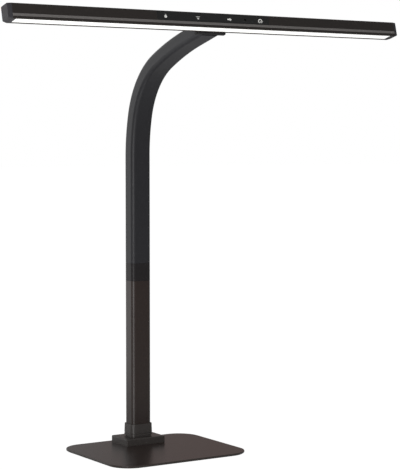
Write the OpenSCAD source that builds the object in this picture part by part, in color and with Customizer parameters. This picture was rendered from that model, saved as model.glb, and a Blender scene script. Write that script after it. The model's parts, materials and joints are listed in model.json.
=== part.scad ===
// Daylight desk lamp: a wide light bar on a flexible gooseneck, over a fixed post and a flat steel base.
// Millimetres. The origin is on the surface that the lamp stands on, under the axis of the post.
// +X runs along the light bar, -Y is the front, where the bar hangs, and +Z is up.

/* [Base] */
// Width of the base plate
base_w = 285; // [240:1:320]
// Depth of the base plate
base_d = 238; // [200:1:280]
// Thickness of the steel plate
base_t = 3.5; // [3:0.1:6]
// Corner radius of the base plate
base_r = 43; // [10:1:60]
// From the post's axis to the plate's back edge
post_back = 42; // [36:1:60]
// How far right of the plate's middle the post stands
post_side = 8.5; // [0:0.5:20]
// Thickness of the foam pad under the plate
pad_t = 1; // [0.6:0.1:3]
// How far the pad stays inside the plate's edge
pad_inset = 2; // [1:0.5:6]

/* [Plinth and collar] */
// Width of the plinth
plinth_w = 84; // [76:1:110]
// Depth of the plinth
plinth_d = 60; // [54:1:66]
// Height of the plinth
plinth_h = 13; // [11:0.5:20]
// Wall of the plinth
plinth_wall = 2.5; // [2:0.1:3]
// Height of the collar
collar_h = 24.5; // [18:0.5:40]
// Wall of the collar at its top
collar_top_wall = 2.2; // [1.5:0.1:3]
// Wall of the collar at its foot
collar_foot_wall = 3.2; // [3:0.1:5]
// Radius of the power inlet's bore
inlet_r = 2.85; // [2.5:0.05:3]
// Depth of the power inlet's bore
inlet_deep = 9.5; // [8:0.5:10]

/* [Post] */
// Width of the post, the ferrule and the neck
post_w = 41.4; // [38:0.1:46]
// Depth of the post, the ferrule and the neck
post_d = 31.4; // [29:0.1:35]
// Radius on the four long edges
post_r = 7.5; // [3:0.1:9]
// Wall of the post
post_wall = 1.6; // [1.2:0.1:2]
// Length of the post, from the plate to the seam
post_h = 311.8; // [200:0.1:400]
// Height of the plug in the foot of the post
plug_h = 30; // [24:1:40]

/* [Ferrule] */
// Height of the ferrule band
ferrule_h = 33.9; // [32:0.1:50]
// Length of the spigot that enters the post
spigot_h = 40; // [32:1:60]
// Wall of the spigot
spigot_wall = 3; // [2.5:0.1:4]

/* [Neck] */
// Straight rise of the neck above the ferrule
neck_rise = 202; // [150:1:260]
// Radius of the first, gentle bend
bend1_r = 325; // [250:1:450]
// Angle of the first bend
bend1_a = 14; // [8:0.5:20]
// Radius of the main bend
bend2_r = 148; // [140:1:220]
// Angle of the main bend
bend2_a = 51; // [40:0.5:55]
// Radius of the last, slight bend
bend3_r = 600; // [400:5:900]
// Angle of the last bend
bend3_a = 10.5; // [5:0.5:14]
// Straight tail of the neck, behind the bar
neck_tail = 56; // [50:1:80]
// Depth of the neck where it meets the bar
tip_d = 27; // [25:0.5:30]
// Bending range of each hinge towards straight
bend_back = 12.5; // [5:0.5:12.5]
// Bending range of each hinge further down
bend_on = 8; // [4:0.5:8]
// Sideways range of each hinge
sway = 8; // [4:0.5:8]
// Radius of a core link
link_r = 7.8; // [7.5:0.1:8.2]
// Radius of a core link's ball
ball_r = 6; // [5.6:0.1:6.2]

/* [Light bar] */
// Length of the light bar over its end caps
bar_l = 807; // [600:1:1000]
// Depth of the light bar
bar_d = 27; // [24:0.5:36]
// Height of the light bar
bar_h = 26.6; // [25:0.1:32]
// Wall of the bar's extrusion
bar_wall = 1.8; // [1.7:0.1:2.2]
// Radius on the extrusion's long edges
bar_r = 1.5; // [0.8:0.1:2]
// Thickness of an end cap
cap_t = 7.5; // [3:0.5:10]
// How far an end cap draws in at front and back
cap_side = 2; // [0.5:0.5:5]
// How far an end cap's underside rises to its end
cap_rise = 1.5; // [0.5:0.5:4]
// How far an end cap's shelf reaches under the diffuser
cap_shelf = 6; // [4:0.5:10]
// How far the lips that hold the diffuser stand in
lip_in = 0.8; // [0.6:0.1:1.2]
// Height of the lips, which the diffuser is set back by
lip_h = 1.5; // [1.2:0.1:2]
// Thickness of the diffuser
diffuser_t = 2; // [1.5:0.1:2.5]
// From the bar's underside to the web that carries the light-emitting board
web_z = 11; // [10:0.1:11.5]
// Height of the trim strip along the front
trim_h = 4.5; // [3:0.1:5]
// From the bar's underside to the trim strip
trim_z = 4.3; // [3:0.1:5]
// Length of the touch panel
touch_l = 232; // [225:1:260]
// From the bar's middle to the touch panel's middle
touch_x = -7; // [-20:1:20]
// Spacing of the touch keys
key_pitch = 65.5; // [50:0.5:70]
// Width of the mounting plate behind the bar
plate_w = 64; // [62:1:100]
// Height of the mounting plate
plate_h = 25; // [24:0.5:30]
// Thickness of the mounting plate
plate_t = 5; // [4:0.5:8]
// Corner radius of the mounting plate
plate_r = 3; // [1:0.5:6]
// From the bar's underside up to the neck's centreline
bar_drop = 8.9; // [8:0.1:11]

/* [Hidden] */
$fn = 64;
link_count = 12;
seat_gap = 0.2;
fit_gap = 0.08;
thread_gap = 0.05;
fold_gap = 0.3;
sink_gap = 0.3;
// Smallest radius inside a corner, how far a cut runs past the face that it opens, and the thinnest slice of a hull
least_r = 0.4;
over = 1;
slice = 0.5;

// Heights of the base, the post and the ferrule
plate_z = pad_t;
deck_z = plate_z + base_t;
plinth_top = deck_z + plinth_h;
seam_z = deck_z + post_h;
neck_z = seam_z + ferrule_h;

// Fasteners: head radius, head height, shank radius
post_screw = [4.5, 1.8, 2.5];
plinth_screw = [2.8, 1.4, 1.5];
spigot_screw = [3.4, 1.4, 2];
bracket_screw = [3.6, 1.8, 2];
grub_r = 2.4;
grub_l = 8;
post_screw_l = 14;
plinth_screw_l = 7;
spigot_screw_l = 5;
post_screw_x = 12;
post_screw_y = 7.5;
boss_r = 3.5;
boss_inset = 7;
grub_share = 0.55;
grub_z = deck_z + plug_h * grub_share;
spigot_shares = [0.7, 0.3];
spigot_screw_z = [for (share = spigot_shares) seam_z - spigot_h * share];

// Power inlet, supply wire and its connector
inlet_body_r = 4;
inlet_proud = 0.4;
inlet_floor = 3;
inlet_lift = 0.5;
inlet_z = deck_z + inlet_body_r + inlet_lift;
inlet_back = plinth_d / 2 + inlet_proud;
inlet_front = inlet_back - inlet_deep - inlet_floor;
wire_r = 1.8;
wire_slot_w = 6;
wire_room = 1;
wire_slot_h = inlet_z - deck_z + wire_r + wire_room;
wire_bore_r = 4;
connector_d = 12;
connector_h = 20;
connector_set = 4;
connector_z = seam_z - spigot_h + connector_set;
spigot_w = post_w - 2 * post_wall - 2 * seat_gap;
spigot_d = post_d - 2 * post_wall - 2 * seat_gap;

// Ball-and-socket core of the neck
shoulder = 7.5;
socket_rim = 1.5;
stem_r = 3.8;
core_bore_r = 2.4;
core_gap = 0.6;
anchor_flange_r = 9.5;
anchor_flange_h = 3;
anchor_tail_r = 6;
ferrule_web = 10;
nut_r = 9;
nut_h = 6;

// Neck centreline: a straight rise, three arcs and a straight tail, measured by arc length from the ferrule's top
arc1_l = bend1_r * bend1_a * PI / 180;
arc2_l = bend2_r * bend2_a * PI / 180;
arc3_l = bend3_r * bend3_a * PI / 180;
at1 = neck_rise;
at2 = at1 + arc1_l;
at3 = at2 + arc2_l;
at4 = at3 + arc3_l;
neck_l = at4 + neck_tail;
ang2 = bend1_a + bend2_a;
ang3 = ang2 + bend3_a;
tail_margin = 4;
head_stub = neck_tail - tail_margin;
link_pitch = (neck_l - head_stub) / (link_count - 1);
tightest_r = min(bend1_r, bend2_r, bend3_r);
sleeve_bore_r = link_r + link_pitch * link_pitch / (8 * tightest_r) + core_gap;
sleeve_rings = 6;
corner_steps = 3;
ring_n = 4 * (corner_steps + 2);

// Light bar, in its own frame: Y runs back from the front face at -bar_d to the rear face at 0, Z up from the underside
tilt = 90 - ang3;
body_l = bar_l - 2 * cap_t;
web_t = 1.4;
cap_tongue = 8;
board_t = 1.2;
board_inset = 2;
chip = [3.5, 2.8, 0.7];
chip_n = 48;
roof_z = bar_h - bar_wall;
chamber_z = web_z + web_t;
panel_t = 1;
panel_gap = 0.1;
panel_rise = 0.9;
panel_z = trim_z + trim_h + panel_rise;
panel_h = bar_h - bar_r - panel_z;
window_ledge = 1.2;
window_z = chamber_z + window_ledge;
window_h = roof_z - window_ledge - window_z;
key_x0 = touch_x - 1.5 * key_pitch;
key_r = 3;
key_room = 0.3;
key_z = window_z + key_room + key_r;
sensor_x = key_x0 + 2.5 * key_pitch;
sensor_r = 2.2;
sensor_side = 3;
trim_t = 0.9;
trim_proud = 0.3;
bracket_screw_x = (plate_w / 2 + post_w / 2) / 2;
nut_plate_t = 2;
nut_plate_h = 7;
bracket_screw_z = chamber_z + seat_gap + nut_plate_h / 2;
bracket_screw_l = plate_t - bracket_screw[1] - sink_gap + bar_wall + nut_plate_t;
lead_z = bracket_screw_z;
lead_r = 1.6;
lead_slot = plate_t / 2;

// Point at the end of an arc of radius r that turns from angle a to angle b, starting at p
function arc_to(p, a, b, r) = [p[0] + r * (cos(b) - cos(a)), p[1] + r * (sin(b) - sin(a))];
bend_p1 = [0, neck_z + neck_rise];
bend_p2 = arc_to(bend_p1, 0, bend1_a, bend1_r);
bend_p3 = arc_to(bend_p2, bend1_a, ang2, bend2_r);
bend_p4 = arc_to(bend_p3, ang2, ang3, bend3_r);

// Lean of the neck from upright at arc length s
function neck_angle(s) =
    s < at1 ? 0 :
    s < at2 ? (s - at1) / arc1_l * bend1_a :
    s < at3 ? bend1_a + (s - at2) / arc2_l * bend2_a :
    s < at4 ? ang2 + (s - at3) / arc3_l * bend3_a : ang3;

// Place of the neck's centreline at arc length s, as [Y, Z]
function neck_at(s) =
    s < at1 ? [0, neck_z + s] :
    s < at2 ? arc_to(bend_p1, 0, neck_angle(s), bend1_r) :
    s < at3 ? arc_to(bend_p2, bend1_a, neck_angle(s), bend2_r) :
    s < at4 ? arc_to(bend_p3, ang2, neck_angle(s), bend3_r) :
    bend_p4 + (s - at4) * [-sin(ang3), cos(ang3)];

// Depth of the neck at arc length s: even on the straight rise, then tapering to the tip
function neck_depth(s) = post_d - (post_d - tip_d) * max(0, s - at1) / (neck_l - at1);

// Point beside the centreline: x to the right and n towards the back of the neck
function beside(s, x, n) =
    let (p = neck_at(s), a = neck_angle(s))
    [x, p[0] + n * cos(a), p[1] + n * sin(a)];

// Quarter q of the neck's outline as [x, n]: the middle of a face, then the round corner that follows it
function quarter(q, x, n) =
    let (side = q == 0 || q == 3 ? 1 : -1, back = q < 2 ? 1 : -1)
    concat([[x * cos(90 * q), n * sin(90 * q)]],
           [for (i = [0:corner_steps])
                let (a = 90 * (q + i / corner_steps))
                [side * (x - post_r) + post_r * cos(a), back * (n - post_r) + post_r * sin(a)]]);

// Outline of the neck at depth d, counter-clockwise from the right-hand middle
function outline(d) = [for (q = [0:3]) each quarter(q, post_w / 2, d / 2)];

// Round bore of the neck as [x, n], in step with the outline
function bore(r) = [for (i = [0:ring_n - 1]) r * [cos(360 * i / ring_n), sin(360 * i / ring_n)]];

// Where hinge k stands on the centreline
function hinge_s(k) = k * link_pitch;

// Wedge cut away above hinge k, at [x, n]: even hinges bend fore and aft, odd ones sideways
function fold(k, q) =
    fold_gap + (k % 2 == 1 ? abs(q[0]) * tan(sway) :
                q[1] > 0 ? q[1] * tan(bend_back) : -q[1] * tan(bend_on));

// Rectangle w by d with round corners, centred
module round_rect(w, d, r) {
    square([w - 2 * r, d], center = true);
    square([w, d - 2 * r], center = true);
    for (x = [-1, 1], y = [-1, 1])
        translate([x * (w / 2 - r), y * (d / 2 - r)])
            circle(r);
}

// Section of the post, set in by g all round
module post_section(g = 0) {
    round_rect(post_w - 2 * g, post_d - 2 * g, max(least_r, post_r - g));
}

// Screw that points along +Z, with its head below the origin
module screw(s, l) {
    translate([0, 0, -s[1]])
        cylinder(r = s[0], h = s[1]);
    translate([0, 0, -s[1] / 2])
        cylinder(r = s[2], h = l + s[1] / 2);
}

// Room for that screw's head and shank
module screw_room(s, l) {
    translate([0, 0, -s[1] - sink_gap])
        cylinder(r = s[0] + seat_gap, h = s[1] + sink_gap);
    translate([0, 0, -s[1]])
        cylinder(r = s[2] + thread_gap, h = l + s[1]);
}

// Places of the four screws that hold the post's plug
module at_post_screws() {
    for (x = [-1, 1], y = [-1, 1])
        translate([x * post_screw_x, y * post_screw_y, plate_z + post_screw[1] + sink_gap])
            children();
}

// Places of the four screws that hold the plinth
module at_plinth_screws() {
    for (x = [-1, 1], y = [-1, 1])
        translate([x * (plinth_w / 2 - boss_inset), y * (plinth_d / 2 - boss_inset),
                   plate_z + plinth_screw[1] + sink_gap])
            children();
}

// Places of the two screws through the back of the post into the spigot
module at_spigot_screws() {
    for (z = spigot_screw_z)
        translate([0, post_d / 2 - spigot_screw[1], z])
            rotate([90, 0, 0])
                children();
}

module plate_outline(inset) {
    translate([-post_side, post_back - base_d / 2])
        round_rect(base_w - 2 * inset, base_d - 2 * inset, base_r - inset);
}

module base_pad() {
    color("#1c1b1b")
        linear_extrude(pad_t)
            plate_outline(pad_inset);
}

module base_plate() {
    color("#4c4542")
        difference() {
            translate([0, 0, plate_z])
                linear_extrude(base_t)
                    plate_outline(0);
            at_post_screws()
                screw_room(post_screw, post_screw_l);
            at_plinth_screws()
                screw_room(plinth_screw, plinth_screw_l);
        }
}

module post_screws() {
    color("#8a8a8c")
        at_post_screws()
            screw(post_screw, post_screw_l);
}

module plinth_screws() {
    color("#8a8a8c")
        at_plinth_screws()
            screw(plinth_screw, plinth_screw_l);
}

module plinth() {
    room_w = plinth_w - 2 * plinth_wall;
    room_d = plinth_d - 2 * plinth_wall;
    color("#323030")
        difference() {
            translate([-plinth_w / 2, -plinth_d / 2, deck_z])
                cube([plinth_w, plinth_d, plinth_h]);
            difference() {
                translate([-room_w / 2, -room_d / 2, deck_z - over])
                    cube([room_w, room_d, plinth_h - plinth_wall + over]);
                for (x = [-1, 1], y = [-1, 1])
                    translate([x * (plinth_w / 2 - boss_inset), y * (plinth_d / 2 - boss_inset), deck_z - over])
                        cylinder(r = boss_r, h = plinth_h + over);
            }
            translate([0, 0, deck_z - over])
                linear_extrude(plinth_h + 2 * over)
                    post_section(-seat_gap);
            at_plinth_screws()
                screw_room(plinth_screw, plinth_screw_l);
            translate([0, inlet_front, inlet_z])
                rotate([-90, 0, 0])
                    cylinder(r = inlet_body_r + thread_gap, h = plinth_d);
        }
}

module collar() {
    foot = collar_foot_wall + seat_gap;
    top = collar_top_wall + seat_gap;
    round_r = post_r + collar_top_wall;
    color("#3c3937")
        difference() {
            hull($fn = 32) {
                translate([0, 0, plinth_top])
                    linear_extrude(slice)
                        round_rect(post_w + 2 * foot, post_d + 2 * foot, round_r);
                translate([0, 0, plinth_top + collar_h - slice])
                    linear_extrude(slice)
                        round_rect(post_w + 2 * top, post_d + 2 * top, round_r);
            }
            translate([0, 0, plinth_top - over])
                linear_extrude(collar_h + 2 * over)
                    post_section(-seat_gap);
        }
}

module dc_inlet() {
    color("#232323")
        translate([0, inlet_back, inlet_z])
            rotate([90, 0, 0])
                difference() {
                    cylinder(r = inlet_body_r, h = inlet_deep + inlet_floor);
                    translate([0, 0, -over])
                        cylinder(r = inlet_r, h = inlet_deep + over);
                }
}

module post_plug() {
    color("#77787a")
        difference() {
            translate([0, 0, deck_z])
                linear_extrude(plug_h)
                    post_section(post_wall + seat_gap);
            translate([0, 0, deck_z - over])
                cylinder(r = wire_bore_r, h = plug_h + 2 * over);
            translate([-wire_slot_w / 2, 0, deck_z - over])
                cube([wire_slot_w, post_d, wire_slot_h + over]);
            at_post_screws()
                screw_room(post_screw, post_screw_l);
            for (side = [-1, 1])
                translate([side * post_w / 2, 0, grub_z])
                    rotate([0, -side * 90, 0])
                        cylinder(r = grub_r + thread_gap, h = grub_l + seat_gap);
        }
}

module plug_screws() {
    color("#8a8a8c")
        for (side = [-1, 1])
            translate([side * post_w / 2, 0, grub_z])
                rotate([0, -side * 90, 0])
                    cylinder(r = grub_r, h = grub_l);
}

module lower_post() {
    color("#453f3c")
        difference() {
            translate([0, 0, deck_z])
                linear_extrude(post_h)
                    difference() {
                        post_section();
                        post_section(post_wall);
                    }
            translate([-wire_slot_w / 2, 0, deck_z - over])
                cube([wire_slot_w, post_d, wire_slot_h + over]);
            translate([-post_w, 0, grub_z])
                rotate([0, 90, 0])
                    cylinder(r = grub_r + thread_gap, h = 2 * post_w);
            at_spigot_screws()
                screw_room(spigot_screw, spigot_screw_l);
        }
}

module post_wire() {
    color("#1a1a1a") {
        translate([0, 0, inlet_z])
            cylinder(r = wire_r, h = connector_z - inlet_z);
        translate([0, 0, inlet_z])
            sphere(r = wire_r);
        translate([0, inlet_front, inlet_z])
            rotate([90, 0, 0])
                cylinder(r = wire_r, h = inlet_front);
    }
}

module wire_connector() {
    color("#e8e4da")
        translate([0, 0, connector_z + connector_h / 2])
            cube([spigot_w - 2 * spigot_wall - 2 * seat_gap, connector_d, connector_h], center = true);
}

module neck_ferrule() {
    web_top = neck_z - shoulder - anchor_flange_h;
    color("#272526")
        difference() {
            union() {
                translate([0, 0, seam_z])
                    linear_extrude(ferrule_h)
                        post_section();
                translate([0, 0, seam_z - spigot_h])
                    linear_extrude(spigot_h + over)
                        post_section(post_wall + seat_gap);
            }
            translate([0, 0, web_top])
                cylinder(r = sleeve_bore_r, h = ferrule_h);
            translate([0, 0, seam_z - spigot_h - over])
                linear_extrude(web_top - ferrule_web - seam_z + spigot_h + over)
                    post_section(post_wall + seat_gap + spigot_wall);
            translate([0, 0, seam_z])
                cylinder(r = anchor_tail_r + thread_gap, h = ferrule_h);
            at_spigot_screws()
                screw_room(spigot_screw, spigot_screw_l);
        }
}

module spigot_screws() {
    color("#8a8a8c")
        at_spigot_screws()
            screw(spigot_screw, spigot_screw_l);
}

module neck_anchor() {
    flange_z = neck_z - shoulder - anchor_flange_h;
    tail_l = ferrule_web + nut_h;
    color("#8f9092")
        difference() {
            union() {
                translate([0, 0, neck_z])
                    sphere(r = ball_r);
                translate([0, 0, flange_z])
                    cylinder(r = stem_r, h = shoulder + anchor_flange_h);
                translate([0, 0, flange_z])
                    cylinder(r = anchor_flange_r, h = anchor_flange_h);
                translate([0, 0, flange_z - tail_l])
                    cylinder(r = anchor_tail_r, h = tail_l + anchor_flange_h / 2);
            }
            translate([0, 0, flange_z - tail_l - over])
                cylinder(r = core_bore_r, h = tail_l + ferrule_h);
        }
}

module anchor_nut() {
    color("#8a8a8c")
        translate([0, 0, neck_z - shoulder - anchor_flange_h - ferrule_web - nut_h])
            difference() {
                cylinder(r = nut_r, h = nut_h, $fn = 6);
                translate([0, 0, -over])
                    cylinder(r = anchor_tail_r + thread_gap, h = nut_h + 2 * over);
            }
}

// Core link k, from hinge k - 1 to hinge k: a socket below, a drilled body, and a ball above
module neck_link(k) {
    from = neck_at(hinge_s(k - 1));
    to = neck_at(hinge_s(k));
    chord = norm(to - from);
    lean = atan2(from[0] - to[0], to[1] - from[1]);
    color("#9a9b9d")
        translate([0, from[0], from[1]])
            rotate([lean, 0, 0])
                difference() {
                    union() {
                        translate([0, 0, -socket_rim])
                            cylinder(r = link_r, h = chord - shoulder + socket_rim);
                        translate([0, 0, chord - shoulder - over])
                            cylinder(r = stem_r, h = shoulder + over);
                        translate([0, 0, chord])
                            sphere(r = ball_r);
                    }
                    sphere(r = ball_r + fit_gap);
                    cylinder(r = core_bore_r, h = chord + 2 * ball_r);
                }
}

// Sleeve k, the stretch of the neck's skin from hinge k - 1 to hinge k, or to the bar for the last one
module neck_sleeve(k) {
    low = hinge_s(k - 1);
    high = k < link_count ? hinge_s(k) - fold_gap : neck_l;
    ring = [for (j = [0:sleeve_rings]) low + (high - low) * j / sleeve_rings];
    points = [
        for (j = [0:sleeve_rings], q = concat(outline(neck_depth(ring[j])), bore(sleeve_bore_r)))
            beside(ring[j] + (j == 0 ? fold(k - 1, q) : 0), q[0], q[1])
    ];
    step = 2 * ring_n;
    last = sleeve_rings * step;
    sides = [
        for (j = [0:sleeve_rings - 1], i = [0:ring_n - 1])
            let (a = j * step + i, b = j * step + (i + 1) % ring_n)
            each [[a, a + step, b + step], [a, b + step, b],
                  [a + ring_n, b + step + ring_n, a + step + ring_n], [a + ring_n, b + ring_n, b + step + ring_n]]
    ];
    ends = [
        for (i = [0:ring_n - 1])
            let (b = (i + 1) % ring_n)
            each [[i, b, b + ring_n], [i, b + ring_n, i + ring_n],
                  [last + i, last + b + ring_n, last + b], [last + i, last + i + ring_n, last + b + ring_n]]
    ];
    color("#2c2b2d")
        polyhedron(points, concat(sides, ends), convexity = 4);
}

// Places its children in the light bar's own frame
module on_bar() {
    end = neck_at(neck_l);
    corner = end - plate_t * [cos(tilt), -sin(tilt)] - bar_drop * [sin(tilt), cos(tilt)];
    translate([0, corner[0], corner[1]])
        rotate([-tilt, 0, 0])
            children();
}

// Section of the light bar, drawn in Y and Z, set in by side at front and back and by rise below
module bar_outline(side = 0, rise = 0) {
    translate([-bar_d / 2, bar_h / 2 + rise / 2])
        round_rect(bar_d - 2 * side, bar_h - rise, bar_r);
}

// Extrudes a section drawn in Y and Z along the bar, from x0 for a length l
module along_bar(x0, l) {
    translate([x0, 0, 0])
        rotate([90, 0, 90])
            linear_extrude(l)
                children();
}

// Places of the two screws through the mounting plate
module at_bracket_screws() {
    for (side = [-1, 1])
        translate([side * bracket_screw_x, plate_t - bracket_screw[1] - sink_gap, bracket_screw_z])
            rotate([90, 0, 0])
                children();
}

// Places its children at the last hinge, with +Z along the neck's tail towards the bar
module at_last_hinge() {
    translate([0, plate_t + head_stub, bar_drop])
        rotate([90, 0, 0])
            children();
}

module head_bracket() {
    color("#1f1e1f")
        on_bar()
            difference() {
                union() {
                    translate([0, plate_t, bar_drop])
                        rotate([90, 0, 0])
                            linear_extrude(plate_t)
                                round_rect(plate_w, plate_h, plate_r);
                    at_last_hinge()
                        translate([0, 0, -socket_rim])
                            cylinder(r = link_r, h = head_stub + socket_rim + plate_t / 2);
                }
                at_last_hinge() {
                    sphere(r = ball_r + fit_gap);
                    cylinder(r = core_bore_r, h = head_stub + plate_t - lead_slot / 2);
                }
                translate([-core_bore_r, -over, bar_drop - core_bore_r])
                    cube([2 * core_bore_r, lead_slot + over, lead_z - bar_drop + 2 * core_bore_r]);
                at_bracket_screws()
                    screw_room(bracket_screw, bracket_screw_l);
            }
}

module bracket_screws() {
    color("#6d6d6f")
        on_bar()
            at_bracket_screws()
                screw(bracket_screw, bracket_screw_l);
}

module nut_plate() {
    color("#8a8a8c")
        on_bar()
            difference() {
                translate([-plate_w / 2, -bar_wall - nut_plate_t, bracket_screw_z - nut_plate_h / 2])
                    cube([plate_w, nut_plate_t, nut_plate_h]);
                at_bracket_screws()
                    screw_room(bracket_screw, bracket_screw_l + over);
                translate([0, over, lead_z])
                    rotate([90, 0, 0])
                        cylinder(r = lead_r + seat_gap, h = bar_d);
            }
}

module bar_housing() {
    inner = bar_d - 2 * bar_wall;
    mouth = inner - 2 * lip_in;
    color("#2a2826")
        on_bar()
            difference() {
                along_bar(-body_l / 2, body_l)
                    difference() {
                        bar_outline();
                        translate([-bar_d / 2 - mouth / 2, -over])
                            square([mouth, lip_h + 2 * over]);
                        translate([-bar_d + bar_wall, lip_h])
                            square([inner, web_z - lip_h]);
                        translate([-bar_d + bar_wall, chamber_z])
                            square([inner, roof_z - chamber_z]);
                    }
                translate([touch_x - touch_l / 2 - panel_gap, -bar_d - over, panel_z - panel_gap])
                    cube([touch_l + 2 * panel_gap, panel_t + over, panel_h + 2 * panel_gap]);
                translate([touch_x - touch_l / 2 + window_ledge, -bar_d - over, window_z])
                    cube([touch_l - 2 * window_ledge, bar_wall + 2 * over, window_h]);
                translate([-body_l / 2 - over, -bar_d - over, trim_z])
                    cube([body_l + 2 * over, trim_t - trim_proud + over, trim_h]);
                at_bracket_screws()
                    screw_room(bracket_screw, bracket_screw_l);
                translate([0, over, lead_z])
                    rotate([90, 0, 0])
                        cylinder(r = lead_r + seat_gap, h = bar_wall + 2 * over);
            }
}

// End cap for the +X end: a drafted block, a tongue in the upper chamber and a shelf under the diffuser
module end_cap() {
    inner = bar_d - 2 * bar_wall - 2 * seat_gap;
    mouth = inner - 2 * lip_in;
    hull($fn = 32) {
        along_bar(body_l / 2, slice)
            bar_outline();
        along_bar(bar_l / 2 - slice, slice)
            bar_outline(cap_side, cap_rise);
    }
    translate([body_l / 2 - cap_tongue, -bar_d + bar_wall + seat_gap, chamber_z + seat_gap])
        cube([cap_tongue + slice, inner, roof_z - chamber_z - 2 * seat_gap]);
    translate([body_l / 2 - cap_shelf, -bar_d / 2 - mouth / 2, 0])
        cube([cap_shelf + slice, mouth, lip_h]);
}

module end_cap_left() {
    color("#57565a")
        on_bar()
            mirror([1, 0, 0])
                end_cap();
}

module end_cap_right() {
    color("#57565a")
        on_bar()
            end_cap();
}

module front_trim() {
    color("#646260")
        on_bar()
            translate([-body_l / 2, -bar_d - trim_proud, trim_z])
                cube([body_l, trim_t, trim_h]);
}

module touch_panel() {
    color("#262626")
        on_bar()
            difference() {
                translate([touch_x - touch_l / 2, -bar_d, panel_z])
                    cube([touch_l, panel_t, panel_h]);
                translate([sensor_x, -bar_d - over, key_z])
                    rotate([-90, 0, 0])
                        cylinder(r = sensor_r + thread_gap, h = panel_t + 2 * over);
            }
}

module touch_keys() {
    color("#b98d52")
        on_bar()
            for (i = [0:3])
                translate([key_x0 + i * key_pitch, -bar_d + panel_t, key_z])
                    rotate([-90, 0, 0])
                        cylinder(r = key_r, h = 2 * bar_wall - panel_t);
}

module touch_board() {
    color("#24502f")
        on_bar()
            translate([touch_x - touch_l / 2, -bar_d + 2 * bar_wall, chamber_z + panel_gap])
                cube([touch_l, board_t, roof_z - chamber_z - 2 * panel_gap]);
}

module sensor_window() {
    color("#101010")
        on_bar()
            translate([sensor_x, -bar_d, key_z])
                rotate([-90, 0, 0])
                    cylinder(r = sensor_r, h = panel_t);
}

module light_sensor() {
    color("#3a3a3a")
        on_bar()
            translate([sensor_x - sensor_side / 2, -bar_d + panel_t, key_z - sensor_side / 2])
                cube([sensor_side, 2 * bar_wall - panel_t, sensor_side]);
}

module diffuser() {
    w = bar_d - 2 * bar_wall - 2 * seat_gap;
    l = body_l - 2 * seat_gap;
    color("#f6f6f2")
        on_bar()
            translate([-l / 2, -bar_d / 2 - w / 2, lip_h])
                cube([l, w, diffuser_t]);
}

module led_board() {
    w = bar_d - 2 * bar_wall - 2 * board_inset;
    l = body_l - 2 * cap_shelf;
    color("#e9e9e4")
        on_bar()
            translate([-l / 2, -bar_d / 2 - w / 2, web_z - board_t])
                cube([l, w, board_t]);
}

module led_chips() {
    pitch = (body_l - 2 * cap_shelf) / chip_n;
    color("#f2dc8a")
        on_bar()
            for (i = [0:chip_n - 1])
                translate([(i + 0.5 - chip_n / 2) * pitch, -bar_d / 2, web_z - board_t - chip[2] / 2])
                    cube(chip, center = true);
}

module bar_lead() {
    color("#1a1a1a")
        on_bar()
            translate([0, lead_slot, lead_z])
                rotate([90, 0, 0])
                    cylinder(r = lead_r, h = lead_slot + bar_d - 2 * bar_wall - board_t);
}

base_pad();
base_plate();
post_screws();
plinth_screws();
plinth();
collar();
dc_inlet();
post_plug();
plug_screws();
lower_post();
post_wire();
wire_connector();
neck_ferrule();
spigot_screws();
neck_anchor();
anchor_nut();
for (k = [1:link_count - 1]) neck_link(k);
for (k = [1:link_count]) neck_sleeve(k);
head_bracket();
bracket_screws();
nut_plate();
bar_housing();
end_cap_left();
end_cap_right();
front_trim();
touch_panel();
touch_keys();
touch_board();
sensor_window();
light_sensor();
diffuser();
led_board();
led_chips();
bar_lead();
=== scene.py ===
"""Looks of the daylight desk lamp: surfaces, finishes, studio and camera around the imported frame."""

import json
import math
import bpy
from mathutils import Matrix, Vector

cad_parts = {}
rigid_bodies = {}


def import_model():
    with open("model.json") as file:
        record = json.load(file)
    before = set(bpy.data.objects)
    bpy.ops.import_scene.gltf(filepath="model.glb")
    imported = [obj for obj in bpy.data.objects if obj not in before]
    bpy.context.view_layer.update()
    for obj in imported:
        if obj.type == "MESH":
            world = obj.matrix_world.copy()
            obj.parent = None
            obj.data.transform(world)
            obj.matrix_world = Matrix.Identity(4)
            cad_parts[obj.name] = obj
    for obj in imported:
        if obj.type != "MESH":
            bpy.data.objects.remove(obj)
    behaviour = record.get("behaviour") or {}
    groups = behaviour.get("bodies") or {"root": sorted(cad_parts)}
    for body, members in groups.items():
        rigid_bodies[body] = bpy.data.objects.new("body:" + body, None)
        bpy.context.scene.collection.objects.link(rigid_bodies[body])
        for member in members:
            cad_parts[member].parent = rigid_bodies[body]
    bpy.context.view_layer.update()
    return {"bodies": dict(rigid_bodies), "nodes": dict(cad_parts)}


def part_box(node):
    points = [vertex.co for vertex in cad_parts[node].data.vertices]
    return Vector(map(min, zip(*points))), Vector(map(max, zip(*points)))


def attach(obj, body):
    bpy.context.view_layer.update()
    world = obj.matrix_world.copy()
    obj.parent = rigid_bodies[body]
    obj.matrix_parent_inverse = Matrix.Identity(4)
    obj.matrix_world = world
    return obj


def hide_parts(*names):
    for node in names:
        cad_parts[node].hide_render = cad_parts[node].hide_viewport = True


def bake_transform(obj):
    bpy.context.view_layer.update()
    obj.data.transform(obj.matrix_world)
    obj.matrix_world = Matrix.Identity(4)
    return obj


bl_info = {
    "name": "Daylight desk lamp",
    "version": (1, 0, 0),
    "blender": (4, 5, 0),
    "location": "View3D > Sidebar > Lamp",
    "description": "Builds the surfaces, finishes, studio and camera of a gooseneck desk lamp",
    "category": "Object",
}

import bmesh
import bpy
import numpy as np
from bpy.props import FloatProperty, FloatVectorProperty, PointerProperty
from bpy.types import NodeSocket, Operator, Panel, PropertyGroup

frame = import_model()

MM = 0.001

# Grid counts and tolerances of the surfaces
CORNER_STEPS = 10
EDGE_STEPS = 4
ROUND_STEPS = 48
SKIN_RINGS = 24
LEAST_RADIUS = 0.05 * MM
MERGE = 1e-7
SHARP = math.radians(38)

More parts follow.
